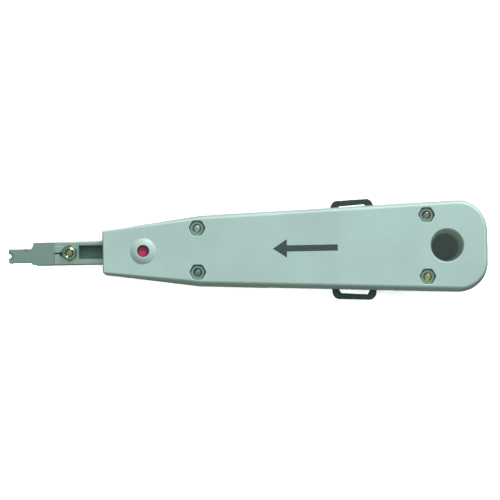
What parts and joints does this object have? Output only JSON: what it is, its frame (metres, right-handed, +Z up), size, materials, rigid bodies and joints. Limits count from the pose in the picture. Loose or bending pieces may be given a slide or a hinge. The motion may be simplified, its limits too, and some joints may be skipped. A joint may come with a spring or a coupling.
{
  "type": "punch down tool",
  "caption": "Flat two-shell handle with a spring-loaded carrier, forked insertion nose, coupled scissor, sensor slide, lock pin, hanging hole and swing-out hook and blade.",
  "frame": {"origin": "under the middle of the tool's box, on the surface that the lower shell rests on", "axes": "+X from the fork at the tip to the hanging hole, +Y across the handle, +Z up through its thickness to the nut side"},
  "size_m": [0.178, 0.0375, 0.019],
  "materials": {
    "case_plastic": "fine texture",
    "pin_plastic": "gloss",
    "guide_plastic": "matte",
    "tip_steel": "satin",
    "carrier_steel": "satin",
    "bright_steel": "plated",
    "blade_steel": "ground",
    "dark_steel": "blackened",
    "spring_steel": "drawn wire"
  },
  "bodies": {
    "case": {"lower_shell": "case_plastic", "upper_shell": "case_plastic", "case_screw_1": "bright_steel", "case_screw_2": "bright_steel", "case_screw_3": "bright_steel", "case_screw_4": "bright_steel", "case_nut_1": "bright_steel", "case_nut_2": "bright_steel", "case_nut_3": "bright_steel", "case_nut_4": "bright_steel", "front_guide": "guide_plastic", "cam_plate": "blade_steel", "spring_seat": "guide_plastic", "return_spring": "spring_steel", "hook_detent_spring": "spring_steel", "blade_detent_spring": "spring_steel", "hook_lower_washer": "bright_steel", "hook_upper_washer": "bright_steel", "blade_lower_washer": "bright_steel", "blade_upper_washer": "bright_steel"},
    "plunger": {"carrier": "carrier_steel", "insertion_tip": "tip_steel", "fixed_scissor_blade": "blade_steel", "pivot_screw": "bright_steel", "pivot_nut": "bright_steel", "plunger_rod": "bright_steel", "rod_cross_pin": "bright_steel", "sensor_spring": "spring_steel"},
    "scissor": {"moving_scissor_blade": "blade_steel", "follower_pin": "bright_steel"},
    "sensor": {"sensor_slide": "blade_steel"},
    "lock": {"lock_pin": "pin_plastic"},
    "hook_arm": {"hook": "dark_steel"},
    "blade_arm": {"blade": "dark_steel"}
  },
  "joints": [
    {"name": "plunger_slide", "type": "slide", "parent": "case", "child": "plunger", "axis": [1, 0, 0], "range_m": [0, 0.008], "stiffness_N_per_m": 800, "springref_m": -0.005, "deforming": ["return_spring"]},
    {"name": "scissor_pivot", "type": "hinge", "parent": "plunger", "child": "scissor", "pos_m": [-0.0664, 0, 0.0079], "axis": [0, 0, 1], "range_deg": [0, 4.6]},
    {"name": "sensor_slide_joint", "type": "slide", "parent": "plunger", "child": "sensor", "axis": [1, 0, 0], "range_m": [0, 0.002], "stiffness_N_per_m": 150, "springref_m": -0.003, "deforming": ["sensor_spring"]},
    {"name": "lock_pin_push", "type": "slide", "parent": "case", "child": "lock", "axis": [0, 0, 1], "range_m": [-0.002, 0]},
    {"name": "hook_swing", "type": "hinge", "parent": "case", "child": "hook_arm", "pos_m": [0.066, 0.0114, 0.009], "axis": [0, 0, -1], "range_deg": [0, 150]},
    {"name": "blade_swing", "type": "hinge", "parent": "case", "child": "blade_arm", "pos_m": [0.066, -0.0114, 0.009], "axis": [0, 0, 1], "range_deg": [0, 150]}
  ],
  "couplings": [
    {"joint": "scissor_pivot", "follows": "plunger_slide", "rad_per_m": 10.03}
  ]
}
